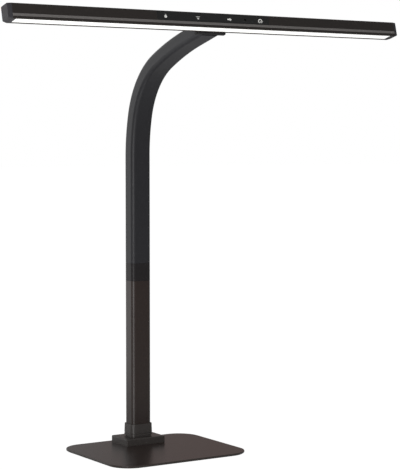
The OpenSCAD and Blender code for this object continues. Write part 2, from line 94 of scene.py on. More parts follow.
# Screw heads: the bevel and the drive socket's half width as shares of the head's radius, and the
# socket's depth as a share of the head's height
HEAD_BEVEL = 0.08
DRIVE_HALF = 0.45
DRIVE_DEPTH = 0.6

# Octaves of the broad and the fine noise in the finishes
BROAD_DETAIL = 3.0
FINE_DETAIL = 2.0

# Sockets of a colour mix, whose names repeat for each kind of data: share, both colours and the result
MIX_SHARE = 0
MIX_FIRST = 6
MIX_SECOND = 7
MIX_RESULT = 2

# The photograph's frame in pixels, and the camera that was fitted to it
PHOTO_SIZE = (400, 470)
FOCAL_PX = 1584.56
SENSOR = 36.0
CAMERA_AT = (-1.526936, -2.607981, 0.579993)
CAMERA_YAW = 0.569019
CAMERA_PITCH = -0.058488

# Ways from the lamp to the studio's white wall and its warm side, and the cosines between which each fades
WALL = ((-0.309, 0.951, 0.0), (0.61, 0.86))
WARM_SIDE = ((0.866, 0.5, 0.0), (0.825, 0.865))

# How many times lower than wide the white wall is
WALL_LOW = 2.5

# Tones of the studio
WHITE = "#ffffff"
WARM_WHITE = "#ffddd6"

# Soft boxes and the card on the floor: place, point that each is aimed at, and width and height
LAMP_MIDDLE = (0.0, -0.05, 0.42)
FRONT_BOX = ((-2.37, -2.29, 0.71), LAMP_MIDDLE, (1.7, 1.4))
TOP_BOX = ((0.3, -0.4, 3.0), LAMP_MIDDLE, (2.4, 2.4))
FLOOR_CARD = ((-0.38, -0.37, 0.004), (-0.38, -0.37, 1.0), (0.42, 0.42))

# Half side of the floor, grain of its paper, and distances from the lamp between which its near level fades
FLOOR_REACH = 30.0
PAPER_TOOTH = 3 * MM
NEAR_FLOOR = (0.45, 1.1)

# Share of the floor that shows as plain white, while the rest takes the shadow, and that white's radiance
FLOOR_WHITE = 0.75
FLOOR_GLOW = 1.26


def linear(code):
    """Linear red, green and blue of an sRGB hex code: v / 12.92 in the toe, and above it
    ((v + 0.055) / 1.055) ** 2.4."""
    v = np.array([int(code[i : i + 2], 16) for i in (1, 3, 5)]) / 255
    return tuple(np.where(v <= 0.04045, v / 12.92, ((v + 0.055) / 1.055) ** 2.4).tolist())


def length(name, description, default):
    """Length property in metres, given in millimetres."""
    size = default * MM
    return FloatProperty(name=name, description=description, default=size, unit="LENGTH", precision=5)


def angle(name, description, default):
    """Angle property in radians, given in degrees."""
    return FloatProperty(name=name, description=description, default=math.radians(default), subtype="ANGLE")


def colour(name, description, code):
    """Colour property, given as an sRGB hex code."""
    rgb = linear(code)
    return FloatVectorProperty(name=name, description=description, default=rgb, subtype="COLOR", min=0, max=1)


def level(name, description, default):
    """Plain number for the strength of a light."""
    return FloatProperty(name=name, description=description, default=default, min=0)


class LampSizes(PropertyGroup):
    """Radii, grooves and rims of the surfaces, where the frame's own boxes don't give them"""

    plate_corner: length("Plate corner", "Corner radius of the base plate", 43)
    plate_edge: length("Plate edge", "Radius on the rim of the base plate", 0.9)
    pad_edge: length("Pad edge", "Radius on the rim of the pad under the plate", 0.25)
    plinth_edge: length("Plinth edge", "Radius on the edges of the plinth", 2)
    plinth_wall: length("Plinth wall", "Wall of the plinth", 2.5)
    collar_wall: length("Collar wall", "Wall of the collar round the post's corners", 2.2)
    collar_taper: length("Collar taper", "How far each side of the collar draws in from foot to top", 1.0)
    collar_band: length("Collar band", "Height of the band at the collar's foot", 5.4)
    collar_groove: length("Collar groove", "Depth and height of the groove above that band", 1.6)
    collar_foot: length("Collar foot", "Depth of the shadow gap under that band", 2.2)
    collar_gap: length("Collar gap", "Height of that shadow gap", 2.8)
    post_corner: length("Post corner", "Radius on the long edges of the post, the ferrule and the neck", 7.5)
    post_wall: length("Post wall", "Wall of the post", 1.6)
    seam_edge: length("Seam edge", "Radius on the edges that meet at a seam", 0.4)
    bar_edge: length("Bar edge", "Radius on the long edges of the light bar", 1.5)
    strip_edge: length("Strip edge", "Radius on the long edges of the trim strip and the diffuser", 0.3)
    cap_side: length("Cap side", "How far an end cap draws in at front and back", 2)
    cap_rise: length("Cap rise", "How far an end cap's underside rises to its end", 1.5)
    cap_tongue: length("Cap tongue", "How far an end cap's tongue enters the bar", 8)
    cap_shelf: length("Cap shelf", "How far an end cap's shelf reaches under the diffuser", 6)
    lip: length("Lip", "How far the lips that hold the diffuser stand in", 0.8)
    mount_corner: length("Mount corner", "Corner radius of the mounting plate", 3)
    mount_edge: length("Mount edge", "Radius on the edges of the mounting plate", 0.7)
    panel_corner: length("Panel corner", "Corner radius of the touch panel", 0.8)
    panel_edge: length("Panel edge", "Radius on the edges of the touch panel", 0.15)
    lens_dome: length("Lens dome", "How far the light sensor's lens drops from its middle to its rim", 0.3)
    ink: length("Ink", "Thickness of the printed symbols", 0.06)


class LampFits(PropertyGroup):
    """Clearances, and sizes of the parts that pieces are held by"""

    fit: length("Fit", "Clearance round a piece that stands in another", 0.2)
    lens_fit: length("Lens fit", "Clearance round the light sensor's lens", 0.05)
    inlet_bore: length("Inlet bore", "Radius of the power inlet's bore", 2.85)
    inlet_floor: length("Inlet floor", "Thickness of the inlet behind its bore", 3)
    inlet_pin: length("Inlet pin", "Radius of the contact in the inlet", 0.65)
    inlet_rim: length("Inlet rim", "Bevel round the inlet's mouth", 0.3)
    inlet_recess: length("Inlet recess", "How far the contact's tip stands back from that mouth", 0.9)
    screw_shank: length("Screw shank", "Radius of the shanks of the screws in post and mounting plate", 2)
    post_head: length("Post screw head", "Height of the screw heads in the post's back", 1.4)
    post_shank: length("Post screw shank", "Length of those screws' shanks", 5)
    mount_head: length("Mount screw head", "Height of the screw heads in the mounting plate", 1.8)
    spigot_wall: length("Spigot wall", "Wall of the ferrule's spigot in the post", 3)
    web_top: length("Web top", "From the ferrule's top down to the web in its bore", 10.5)
    web_low: length("Web underside", "From the ferrule's top down to that web's underside", 20.5)
    web_hole: length("Web hole", "Diameter of the hole in that web", 12.1)
    ball: length("Ball", "Radius of the socket in the stub, for the neck's last ball", 6.08)
    ball_lip: length("Ball lip", "How far that socket reaches round past the ball's middle", 1.5)
    stub_bore: length("Stub bore", "Radius of the bore through the stub", 2.4)
    stub_radius: length("Stub radius", "Radius of the stub behind the mounting plate", 7.8)


class LampNeck(PropertyGroup):
    """Centreline and section of the gooseneck"""

    rise: length("Rise", "Straight rise above the ferrule", 202)
    first_radius: length("First radius", "Radius of the first, gentle bend", 325)
    first_turn: angle("First turn", "Angle of the first bend", 14)
    main_radius: length("Main radius", "Radius of the main bend", 148)
    main_turn: angle("Main turn", "Angle of the main bend", 51)
    last_radius: length("Last radius", "Radius of the last, slight bend", 600)
    last_turn: angle("Last turn", "Angle of the last bend", 10.5)
    tail: length("Tail", "Straight tail behind the bar", 56)
    stub: length("Stub", "Length of the tail that stands past the last hinge", 52)
    tip_depth: length("Tip depth", "Depth of the neck where it meets the bar", 27)
    bore: length("Bore", "Radius of the bore in the skin", 10.35)
    drop: length("Drop", "From the bar's underside up to the neck's centreline", 8.9)
    mount_thick: length("Mount thickness", "Thickness of the mounting plate behind the bar", 5)


class LampColours(PropertyGroup):
    """Colours of what shows"""

    base: colour("Base", "Powder coat of the base plate", "#332a27")
    post: colour("Post", "Powder coat of the post", "#281d19")
    ferrule: colour("Ferrule", "Coat of the ferrule band", "#262425")
    neck: colour("Neck", "Skin of the gooseneck", "#2a2a2d")
    plinth: colour("Plinth", "Moulded plinth and collar", "#403c3a")
    bar: colour("Bar", "Coat of the light bar", "#241e1b")
    # The caps' grey is lighter than the bar's coat: partly the caps' own moulding, partly painted light for
    # the light falling on the bar's left end
    cap: colour("Cap", "Moulded end caps of the light bar", "#353438")
    trim: colour("Trim", "Metal of the strip along the bar's front", "#94908e")
    panel: colour("Panel", "Touch panel", "#232323")
    ink: colour("Ink", "Printed symbols", "#f0f0ec")
    diffuser: colour("Diffuser", "Opal of the diffuser", "#f7f7f4")


class LampLight(PropertyGroup):
    """Studio light and the lamp's own glow"""

    room: level("Room", "Even light of the studio from all sides", 0.27)
    wall: level("Wall", "Radiance of the white wall behind and to the left", 1.27)
    front: level("Front", "Radiance of the wide soft box left of the camera", 6.0)
    near: level("Near", "Share of the floor's white that the lamp's foot mirrors", 0.1)
    card: level("Card", "Radiance of the card on the floor before the lamp's left corner", 2.3)
    top: level("Top", "Radiance of the wide soft box overhead", 0.5)
    glow: level("Glow", "Emission of the diffuser", 0.8)


# Surfaces


def outline(width, depth, radius):
    """Rectangles with round corners, counter-clockwise from +X: each corner's centre plus
    radius * (cos a, sin a) over that corner's quarter turn. The three sizes may be arrays, which give one
    outline for each entry."""
    width, depth, radius = np.broadcast_arrays(*map(np.asarray, (width, depth, radius)))
    turn = np.linspace(0, np.pi / 2, CORNER_STEPS + 1)
    a = (np.arange(4)[:, None] * np.pi / 2 + turn).ravel()
    side = np.repeat([[1, 1], [-1, 1], [-1, -1], [1, -1]], CORNER_STEPS + 1, axis=0)
    half = np.stack([width, depth], -1)[..., None, :] / 2
    r = radius[..., None, None]
    return side * (half - r) + r * np.stack([np.cos(a), np.sin(a)], -1)


def stack(flat, height):
    """Rings of points from outlines and the height that each one stands at."""
    up = np.broadcast_to(np.asarray(height)[:, None, None], flat.shape[:2] + (1,))
    return np.concatenate([flat, up], -1)


def quarter(radius, height, up=True):
    """Profile of a rounded edge as (inset, height): radius * (1 - cos a) in and radius * (1 - sin a)
    short of the height, from the wall to the flat above it, or from the flat below it to the wall."""
    a = np.linspace(0, np.pi / 2, EDGE_STEPS + 1)
    inset, short = radius * (1 - np.cos(a)), radius * (1 - np.sin(a))
    if up:
        return np.stack([inset, height - short], -1)
    return np.stack([inset, height + short], -1)[::-1]


def levels(width, depth, radius, profile):
    """Stack of rectangles with round corners, drawn in by each inset of a profile of (inset, height)."""
    inset, height = np.asarray(profile).T
    corner = np.maximum(radius - inset, LEAST_RADIUS)
    return stack(outline(width - 2 * inset, depth - 2 * inset, corner), height)


def slab(width, depth, bottom, top, corner, edge):
    """Rings of a flat block round the Z axis, with round corners and rounded edges above and below."""
    profile = np.concatenate([quarter(edge, bottom, up=False), quarter(edge, top)])
    return levels(width, depth, corner, profile)


def spun(profile, steps=ROUND_STEPS):
    """Surface of revolution: each (radius, height) of the profile carried round the Z axis."""
    r, h = np.asarray(profile).T
    a = np.linspace(0, 2 * np.pi, steps, endpoint=False)
    flat = r[:, None, None] * np.stack([np.cos(a), np.sin(a)], -1)
    return stack(flat, h)


def shell(rings, close="caps"):
    """Points and faces of a stack of rings: quads from ring to ring, then flat caps on both ends, or a
    last band of quads back to the first ring where close is "loop"."""
    count, n = rings.shape[:2]
    at = np.arange(count * n).reshape(count, n)
    low = at if close == "loop" else at[:-1]
    high = np.roll(at, -1, 0)[: len(low)]
    quads = np.stack([low, np.roll(low, -1, 1), np.roll(high, -1, 1), high], -1).reshape(-1, 4).tolist()
    if close == "caps":
        quads += [at[0, ::-1].tolist(), at[-1].tolist()]
    return rings.reshape(-1, 3), quads


def mesh_of(name, shells):
    """Mesh of several shells, each closed by itself, with the points that coincide at a pole merged."""
    points, faces, start = [], [], 0
    for part, quads in shells:
        points.append(part)
        faces += [[i + start for i in face] for face in quads]
        start += len(part)
    mesh = bpy.data.meshes.new(name)
    mesh.from_pydata(np.concatenate(points).tolist(), [], faces)
    made = bmesh.new()
    made.from_mesh(mesh)
    bmesh.ops.remove_doubles(made, verts=made.verts, dist=MERGE)
    bmesh.ops.dissolve_degenerate(made, edges=made.edges, dist=MERGE)
    made.to_mesh(mesh)
    made.free()
    return mesh


def cut(mesh, shells):
    """Cuts the volume of the shells out of a closed mesh."""
    whole = bpy.data.objects.new("whole", mesh)
    tool = bpy.data.objects.new("tool", mesh_of("tool", shells))
    for obj in (whole, tool):
        bpy.context.scene.collection.objects.link(obj)
    step = whole.modifiers.new("Cut", "BOOLEAN")
    step.operation, step.object, step.solver = "DIFFERENCE", tool, "EXACT"
    drilled = bpy.data.meshes.new_from_object(whole.evaluated_get(bpy.context.evaluated_depsgraph_get()))
    for obj in (whole, tool):
        data = obj.data
        bpy.data.objects.remove(obj)
        bpy.data.meshes.remove(data)
    return drilled


def piece(name, shells, material, stands_for=(), body=None, holes=()):
    """Object of the shells, less the holes, at the origin, shaded smooth up to its sharp edges, with its
    finish. It hides the frame's nodes that it stands for, and rides on the body, where one is given."""
    mesh = mesh_of(name, shells)
    if holes:
        mesh = cut(mesh, holes)
    mesh.name = name
    mesh.materials.clear()
    mesh.materials.append(material)
    mesh.shade_smooth()
    mesh.set_sharp_from_angle(angle=SHARP)
    obj = bpy.data.objects.new(name, mesh)
    bpy.context.scene.collection.objects.link(obj)
    weighted = obj.modifiers.new("Flat faces stay flat", "WEIGHTED_NORMAL")
    weighted.keep_sharp = True
    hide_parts(*stands_for)
    if body:
        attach(obj, body)
    return obj


def refinish(name, material):
    """Gives a frame node that stays in view its finish."""
    finishes = frame["nodes"][name].data.materials
    finishes.clear()
    finishes.append(material)


def span(name):
    """Middle and size of a frame node's box, as arrays in metres."""
    low, high = map(np.array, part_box(name))
    return (low + high) / 2, high - low


def heights(name):
    """Heights of a frame node's underside and top."""
    low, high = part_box(name)
    return low[2], high[2]


def moved(points, x=0.0, y=0.0, z=0.0):
    """The points, shifted."""
    return points + np.array([x, y, z])


def facing_back(points, x, y, z):
    """Turns a form that stands along +Z to point along +Y, with its origin at that place."""
    return np.stack([x + points[..., 0], y + points[..., 2], z - points[..., 1]], -1)


def facing_front(points, x, y, z):
    """Turns a form that stands along +Z to point along -Y, with its origin at that place."""
    return np.stack([x + points[..., 0], y - points[..., 2], z + points[..., 1]], -1)


def neck_arcs(neck):
    """Radius and turn of the neck's three bends, from its foot on."""
    return (
        (neck.first_radius, neck.first_turn),
        (neck.main_radius, neck.main_turn),
        (neck.last_radius, neck.last_turn),
    )


def neck_line(neck, s):
    """Centreline of the neck at arc lengths s: place Y, place Z and lean from upright. Each stretch is
    straight or an arc of radius r, where the place moves by r * (cos b - cos a, sin b - sin a) as the
    lean goes from a to b."""
    foot = heights("neck_ferrule")[1]
    y, z, lean = np.zeros_like(s), foot + np.minimum(s, neck.rise), np.zeros_like(s)
    start, before = neck.rise, 0.0
    for r, turn in neck_arcs(neck):
        turned = np.clip((s - start) / (r * turn), 0, 1) * turn
        y = y + r * (np.cos(before + turned) - math.cos(before))
        z = z + r * (np.sin(before + turned) - math.sin(before))
        lean = lean + turned
        start, before = start + r * turn, before + turn
    rest = np.maximum(s - start, 0)
    return y - rest * math.sin(before), z + rest * math.cos(before), lean


def neck_length(neck):
    """Length of the neck's centreline."""
    return neck.rise + sum(r * turn for r, turn in neck_arcs(neck)) + neck.tail


def carried(neck, s, flat):
    """Outlines at arc lengths s of the neck's centreline: X stays across, and Y turns back by the lean."""
    y, z, lean = (v[:, None] for v in neck_line(neck, s))
    across, back = flat[..., 0], flat[..., 1]
    return np.stack(np.broadcast_arrays(across, y + back * np.cos(lean), z + back * np.sin(lean)), -1)


def bar_place(neck):
    """Place and turn of the bar's own frame, where Y runs back to the rear face at 0 and Z up from the
    underside: the neck's tip, less the mounting plate and the drop, and the tilt's cosine and sine."""
    y, z, lean = (float(v) for v in neck_line(neck, np.array(neck_length(neck))))
    c, s = math.sin(lean), math.cos(lean)
    return y - neck.mount_thick * c - neck.drop * s, z + neck.mount_thick * s - neck.drop * c, c, s


def on_bar(neck, points):
    """Takes points from the bar's own frame to the lamp's: a turn about X by the tilt, then a shift."""
    y, z, c, s = bar_place(neck)
    px, py, pz = np.moveaxis(points, -1, 0)
    return np.stack([px, y + py * c + pz * s, z - py * s + pz * c], -1)


def bar_box(neck, name):
    """Lowest and highest corner of a frame node, whose points are taken back to the bar's own frame."""
    points = frame["nodes"][name].data.vertices
    at = np.empty(3 * len(points), np.float32)
    points.foreach_get("co", at)
    y, z, c, s = bar_place(neck)
    px, py, pz = at.reshape(-1, 3).T
    py, pz = py - y, pz - z
    turned = np.stack([px, py * c - pz * s, py * s + pz * c], -1).astype(float)
    return turned.min(0), turned.max(0)


# Finishes


def node(tree, kind, inputs=None, **settings):
    """Adds a node of that kind with its settings. An input that is given a socket is linked to it, and
    any other is set to the value."""
    made = tree.nodes.new(kind)
    for key, value in settings.items():
        setattr(made, key, value)
    for key, value in (inputs or {}).items():
        if isinstance(value, NodeSocket):
            tree.links.new(value, made.inputs[key])
        else:
            made.inputs[key].default_value = value
    return made


def opened(name):
    """New material of that name with an empty node tree."""
    made = bpy.data.materials.new(name)
    made.use_nodes = True
    made.node_tree.nodes.clear()
    return made, made.node_tree


def shade(rgb, factor=1.0):
    """Colour with full alpha, lighter or darker by the factor."""
    return (*(min(1.0, v * factor) for v in rgb), 1.0)


def finish(name, rgb, patch, drift, grain, relief, rough, specular=0.5, metallic=0.0, stretch=(1, 1, 1)):
    """Finish of one colour whose shade drifts over patches, with a grain that sets relief and roughness.
    Patch, grain and relief are in millimetres, drift is a share of the colour, rough is the lowest and
    highest roughness, and stretch draws the pattern out along an axis where it is below 1."""
    if name in bpy.data.materials:
        return bpy.data.materials[name]
    made, tree = opened(name)
    at = node(tree, "ShaderNodeTexCoord").outputs["Object"]
    at = node(tree, "ShaderNodeMapping", {"Vector": at, "Scale": stretch}).outputs["Vector"]
    broad = {"Vector": at, "Scale": 1 / (patch * MM), "Detail": BROAD_DETAIL}
    broad = node(tree, "ShaderNodeTexNoise", broad).outputs[0]
    fine = {"Vector": at, "Scale": 1 / (grain * MM), "Detail": FINE_DETAIL}
    fine = node(tree, "ShaderNodeTexNoise", fine).outputs[0]
    tones = {MIX_SHARE: broad, MIX_FIRST: shade(rgb, 1 - drift), MIX_SECOND: shade(rgb, 1 + drift)}
    tones = node(tree, "ShaderNodeMix", tones, data_type="RGBA").outputs[MIX_RESULT]
    roughness = node(tree, "ShaderNodeMapRange", {"Value": fine, "To Min": rough[0], "To Max": rough[1]})
    bump = node(tree, "ShaderNodeBump", {"Height": fine, "Strength": 1.0, "Distance": relief * MM})
    shader = node(
        tree,
        "ShaderNodeBsdfPrincipled",
        {
            "Base Color": tones,
            "Roughness": roughness.outputs[0],
            "Normal": bump.outputs[0],
            "Specular IOR Level": specular,
            "Metallic": metallic,
        },
    )
    node(tree, "ShaderNodeOutputMaterial", {"Surface": shader.outputs[0]})
    return made


def powder_coat(name, rgb, rough):
    """Powder coat, sprayed and baked: a fine orange peel that spreads reflections and shows as a satin
    grain. The peel is drawn at 1.6 mm, coarser than the real half millimetre, so that it shows."""
    return finish(name, rgb, patch=55, drift=0.08, grain=1.6, relief=0.05, rough=rough)


def moulded_abs(name, rgb, rough):
    """ABS, moulded in a spark-eroded tool: an even pebble with a weak sheen."""
    return finish(name, rgb, patch=30, drift=0.06, grain=1.1, relief=0.02, rough=rough, specular=0.36)


def eva_foam():
    """EVA foam, cut from sheet: black, dull and full of small cells."""
    return finish(
        "cut_eva_foam", linear("#1c1b1b"), specular=0.2,
        patch=20, drift=0.15, grain=0.7, relief=0.15, rough=(0.85, 0.97),
    )


def black_nylon():
    """Nylon, moulded round the inlet's contact: black, harder and glossier than the plinth."""
    return finish(
        "moulded_nylon", linear("#1b1b1b"),
        patch=6, drift=0.08, grain=0.6, relief=0.01, rough=(0.3, 0.42),
    )


def zinc_steel():
    """Steel, turned and zinc plated: a bright, slightly clouded metal."""
    return finish(
        "zinc_plated_steel", linear("#b4b5b6"), metallic=1.0,
        patch=6, drift=0.08, grain=0.9, relief=0.01, rough=(0.25, 0.42),
    )


def black_oxide():
    """Steel, black oxide on a socket screw: a dark metal whose thin oily film leaves uneven gloss."""
    return finish(
        "black_oxide_steel", linear("#1d1c1c"),
        patch=3, drift=0.2, grain=0.5, relief=0.01, rough=(0.32, 0.5),
    )


def black_anodised(rgb):
    """Aluminium, black anodised: darker and closer than the powder coat, with a soft metallic depth."""
    return finish(
        "black_anodised_aluminium", rgb, specular=0.18,
        patch=25, drift=0.06, grain=1.0, relief=0.015, rough=(0.3, 0.38),
    )


def soft_silicone(rgb):
    """Silicone rubber, moulded with a soft-touch face: matt, with a faint bloom toward its edges."""
    return finish(
        "soft_touch_silicone", rgb, specular=0.27,
        patch=45, drift=0.06, grain=1.2, relief=0.03, rough=(0.36, 0.46),
    )


def painted_steel():
    """Steel, stamped and painted: a flat black with a low sheen."""
    return finish(
        "painted_steel", linear("#191819"), specular=0.4,
        patch=20, drift=0.08, grain=0.9, relief=0.02, rough=(0.48, 0.6),
    )


def painted_extrusion(rgb):
    """Aluminium, extruded and painted: a close satin black with a faint lengthwise draw."""
    return finish(
        "painted_extrusion", rgb, stretch=(0.2, 1, 1),
        patch=60, drift=0.06, grain=1.2, relief=0.02, rough=(0.42, 0.54),
    )


def brushed_strip(rgb):
    """Aluminium, drawn strip, brushed along its length: grey, with streaks that hold the light."""
    return finish(
        "brushed_aluminium", rgb, metallic=0.8, stretch=(0.03, 1, 1),
        patch=30, drift=0.05, grain=0.8, relief=0.01, rough=(0.38, 0.52),
    )


def black_acrylic(rgb):
    """PMMA, moulded with a black back print: dark and glossier than the coat round it."""
    return finish(
        "black_acrylic", rgb, specular=0.35,
        patch=40, drift=0.05, grain=1.5, relief=0.004, rough=(0.22, 0.3),
    )


def smoked_lens():
    """Polycarbonate, moulded and smoked: a nearly black, polished lens."""
    return finish(
        "smoked_polycarbonate", linear("#060606"), specular=0.15,
        patch=5, drift=0.1, grain=1.0, relief=0.002, rough=(0.08, 0.14),
    )


def screen_ink(rgb):
    """Screen ink, printed and cured: thin, flat white with pinholes."""
    return finish(
        "screen_printed_ink", rgb, specular=0.4,
        patch=2, drift=0.05, grain=0.3, relief=0.004, rough=(0.5, 0.62),
    )


def opal_acrylic(rgb, glow):
    """PMMA, extruded opal: an even milky white that light from inside fills, with a soft gloss."""
    patch, drift, grain, rough = 60, 0.015, 1.5, (0.3, 0.42)
    made, tree = opened("opal_acrylic")
    at = node(tree, "ShaderNodeTexCoord").outputs["Object"]
    cloud = {"Vector": at, "Scale": 1 / (patch * MM), "Detail": FINE_DETAIL}
    cloud = node(tree, "ShaderNodeTexNoise", cloud).outputs[0]
    fine = {"Vector": at, "Scale": 1 / (grain * MM), "Detail": FINE_DETAIL}
    fine = node(tree, "ShaderNodeTexNoise", fine).outputs[0]
    tones = {MIX_SHARE: cloud, MIX_FIRST: shade(rgb, 1 - drift), MIX_SECOND: shade(rgb)}
    tones = node(tree, "ShaderNodeMix", tones, data_type="RGBA").outputs[MIX_RESULT]
    roughness = node(tree, "ShaderNodeMapRange", {"Value": fine, "To Min": rough[0], "To Max": rough[1]})
    shader = node(
        tree,
        "ShaderNodeBsdfPrincipled",
        {
            "Base Color": tones,
            "Roughness": roughness.outputs[0],
            "Emission Color": tones,
            "Emission Strength": glow,
        },
    )
    node(tree, "ShaderNodeOutputMaterial", {"Surface": shader.outputs[0]})
    return made


# Finishes of what the lamp holds inside


def turned_aluminium():
    """Aluminium, turned and left bare: pale metal with fine rings across its length."""
    return finish(
        "turned_aluminium", linear("#c3c5c7"), metallic=1.0, stretch=(1, 1, 3),
        patch=8, drift=0.06, grain=0.7, relief=0.008, rough=(0.28, 0.4),
    )


def cast_aluminium():
    """Aluminium, cast: grey with a fine sandy skin."""
    return finish(
        "cast_aluminium", linear("#9b9c9e"), metallic=1.0,
        patch=12, drift=0.1, grain=0.9, relief=0.06, rough=(0.45, 0.6),
    )


def pvc_jacket():
    """PVC, extruded over a wire: black, smooth and slightly glossy, with faint lengthwise drag."""
    return finish(
        "extruded_pvc", linear("#191919"), specular=0.45,
        patch=12, drift=0.1, grain=0.8, relief=0.01, rough=(0.35, 0.48),
    )


def natural_nylon():
    """Nylon, moulded natural: creamy and slightly waxy."""
    return finish(
        "natural_nylon", linear("#e4dfd2"), specular=0.45,
        patch=10, drift=0.04, grain=0.8, relief=0.01, rough=(0.4, 0.5),
    )


def green_mask():
    """Glass-epoxy board under green solder mask: glossy, with the weave just showing."""
    return finish(
        "green_solder_mask", linear("#1f4f2d"),
        patch=4, drift=0.2, grain=0.6, relief=0.02, rough=(0.25, 0.38),
    )


def white_mask():
    """Aluminium-core board under white solder mask: bright, even and a little chalky."""
    return finish(
        "white_solder_mask", linear("#e8e8e3"), specular=0.45,
        patch=8, drift=0.03, grain=0.7, relief=0.01, rough=(0.35, 0.5),
    )


def phosphor_silicone():
    """Silicone with phosphor, dispensed over a chip: deep yellow and slightly domed to the eye."""
    return finish(
        "phosphor_silicone", linear("#efd67c"), specular=0.45,
        patch=1.5, drift=0.12, grain=0.4, relief=0.02, rough=(0.3, 0.45),
    )


def phosphor_bronze():
    """Phosphor bronze, stamped: warm spring metal."""
    return finish(
        "phosphor_bronze", linear("#b8864b"), metallic=1.0,
        patch=3, drift=0.1, grain=0.6, relief=0.01, rough=(0.25, 0.4),
    )


def cast_epoxy():
    """Epoxy, cast round a sensor chip: dark and smooth."""
    return finish(
        "cast_epoxy", linear("#343434"),
        patch=2, drift=0.1, grain=0.5, relief=0.01, rough=(0.2, 0.3),
    )


# Pieces


class LAMP_OT_base(Operator):
    """Builds the steel base plate and the foam pad under it"""

    bl_idname = "lamp.base"
    bl_label = "Base plate and pad"

    def execute(self, context):
        sizes, colours = context.scene.lamp_sizes, context.scene.lamp_colours
        middle, size = span("base_plate")
        low, top = heights("base_plate")
        rim = slab(size[0], size[1], low, top, sizes.plate_corner, sizes.plate_edge)
        plate = [shell(moved(rim, middle[0], middle[1]))]
        coat = powder_coat("powder_coated_steel", colours.base, rough=(0.25, 0.33))
        piece("base_plate_steel", plate, coat, ["base_plate"], "base")

        inset = size[0] / 2
        middle, size = span("base_pad")
        inset -= size[0] / 2
        low, top = heights("base_pad")
        rim = slab(size[0], size[1], low, top, sizes.plate_corner - inset, sizes.pad_edge)
        pad = [shell(moved(rim, middle[0], middle[1]))]
        piece("base_pad_foam", pad, eva_foam(), ["base_pad"], "base")
        return {"FINISHED"}


def plinth_walls(sizes, hole):
    """Shell of the plinth: walls with a rounded top edge, hollow below, and the post's hole in the top."""
    width, depth = span("plinth")[1][:2]
    low, top = heights("plinth")
    edge, wall = sizes.plinth_edge, sizes.plinth_wall
    outer = levels(width, depth, edge, np.concatenate([[(0, low)], quarter(edge, top)]))
    room = (width - 2 * wall, depth - 2 * wall, edge)
    inner = np.array([hole, hole, room, room]).T
    inner = stack(outline(*inner), np.array([top, top - wall, top - wall, low]))
    return shell(np.concatenate([outer, inner]), "loop")


def collar_walls(sizes, hole):
    """Shell of the collar round the post's hole: a shadow gap, a band, a groove and a plain rise, drawn in
    evenly with the height by the taper."""
    width, depth, height = span("collar")[1]
    low, top = heights("collar")
    band, groove, ease = sizes.collar_band, sizes.collar_groove, sizes.seam_edge / 2
    foot, gap = sizes.collar_foot, sizes.collar_gap
    side = np.array(
        [
            (foot, 0),
            (foot, gap),
            (ease, gap),
            (0, gap + ease),
            (0, band - ease),
            (ease, band),
            (groove, band),
            (groove, band + groove),
            (ease, band + groove),
            (0, band + groove + ease),
        ]
    )
    side = np.concatenate([side + [0, low], quarter(sizes.seam_edge, top)])
    side[:, 0] += (side[:, 1] - low) * sizes.collar_taper / height
    outer = levels(width, depth, sizes.post_corner + sizes.collar_wall, side)
    inner = stack(outline(*np.array([hole, hole]).T), np.array([top, low]))
    return shell(np.concatenate([outer, inner]), "loop")


def inlet_profiles(fits, radius, deep):
    """Profiles of the inlet's socket and of the contact in it, with the socket's back at 0."""
    bore, floor, pin, rim = fits.inlet_bore, fits.inlet_floor, fits.inlet_pin, fits.inlet_rim
    socket = [
        (0, 0),
        (radius, 0),
        (radius, deep - rim),
        (radius - rim, deep),
        (bore + rim, deep),
        (bore, deep - rim),
        (bore, floor),
        (0, floor),
    ]
    root, tip = floor - rim, deep - fits.inlet_recess
    contact = [(0, root), (pin, root), (pin, tip - rim), (pin / 2, tip), (0, tip)]
    return socket, contact


class LAMP_OT_foot(Operator):
    """Builds the plinth, the tapered collar round the post and the power inlet in the plinth's back"""

    bl_idname = "lamp.foot"
    bl_label = "Plinth, collar and inlet"

    def execute(self, context):
        scene = context.scene
        sizes, fits, colours = scene.lamp_sizes, scene.lamp_fits, scene.lamp_colours
        plastic = moulded_abs("moulded_abs", colours.plinth, rough=(0.26, 0.36))
        post = span("lower_post")[1]
        hole = (post[0] + 2 * fits.fit, post[1] + 2 * fits.fit, sizes.post_corner + fits.fit)
        middle, size = span("dc_inlet")
        radius, deep = size[0] / 2, size[1]
        opening = [shell(facing_back(spun([(radius, -deep), (radius, deep)]), *middle))]
        plinth = [plinth_walls(sizes, hole)]
        piece("plinth_moulding", plinth, plastic, ["plinth"], "base", holes=opening)
        collar = [collar_walls(sizes, hole)]
        piece("collar_moulding", collar, plastic, ["collar"], "base")

        at = middle - [0, deep / 2, 0]
        socket, contact = ([shell(facing_back(spun(p), *at))] for p in inlet_profiles(fits, radius, deep))
        piece("inlet_socket", socket, black_nylon(), ["dc_inlet"], "base")
        piece("inlet_contact", contact, zinc_steel(), [], "base")
        return {"FINISHED"}


def socket_screw(head, head_high, shank, shank_long):
    """Screw that points along -Z with its head's flat at Z = 0: a surface of revolution whose rings turn
    into hexagons in the drive socket, where the radius is the flat's distance over cos of the angle from
    the flat's middle."""
    a = np.linspace(0, 2 * np.pi, ROUND_STEPS, endpoint=False)
    six = 1 / np.cos((a + np.pi / 6) % (np.pi / 3) - np.pi / 6)
    bevel, drive, deep = head * HEAD_BEVEL, head * DRIVE_HALF, head_high * DRIVE_DEPTH
    profile = np.array(
        [
            (0, -head_high - shank_long, 0),
            (shank, -head_high - shank_long, 0),
            (shank, -head_high, 0),
            (head, -head_high, 0),
            (head, -bevel, 0),
            (head - bevel, 0, 0),
            (drive, 0, 1),
            (drive, -deep, 1),
            (0, -deep, 1),
        ]
    )
    r, h, share = profile.T
    radius = r[:, None] * (1 + share[:, None] * (six - 1))
    flat = radius[..., None] * np.stack([np.cos(a), np.sin(a)], -1)
    return stack(flat, h)


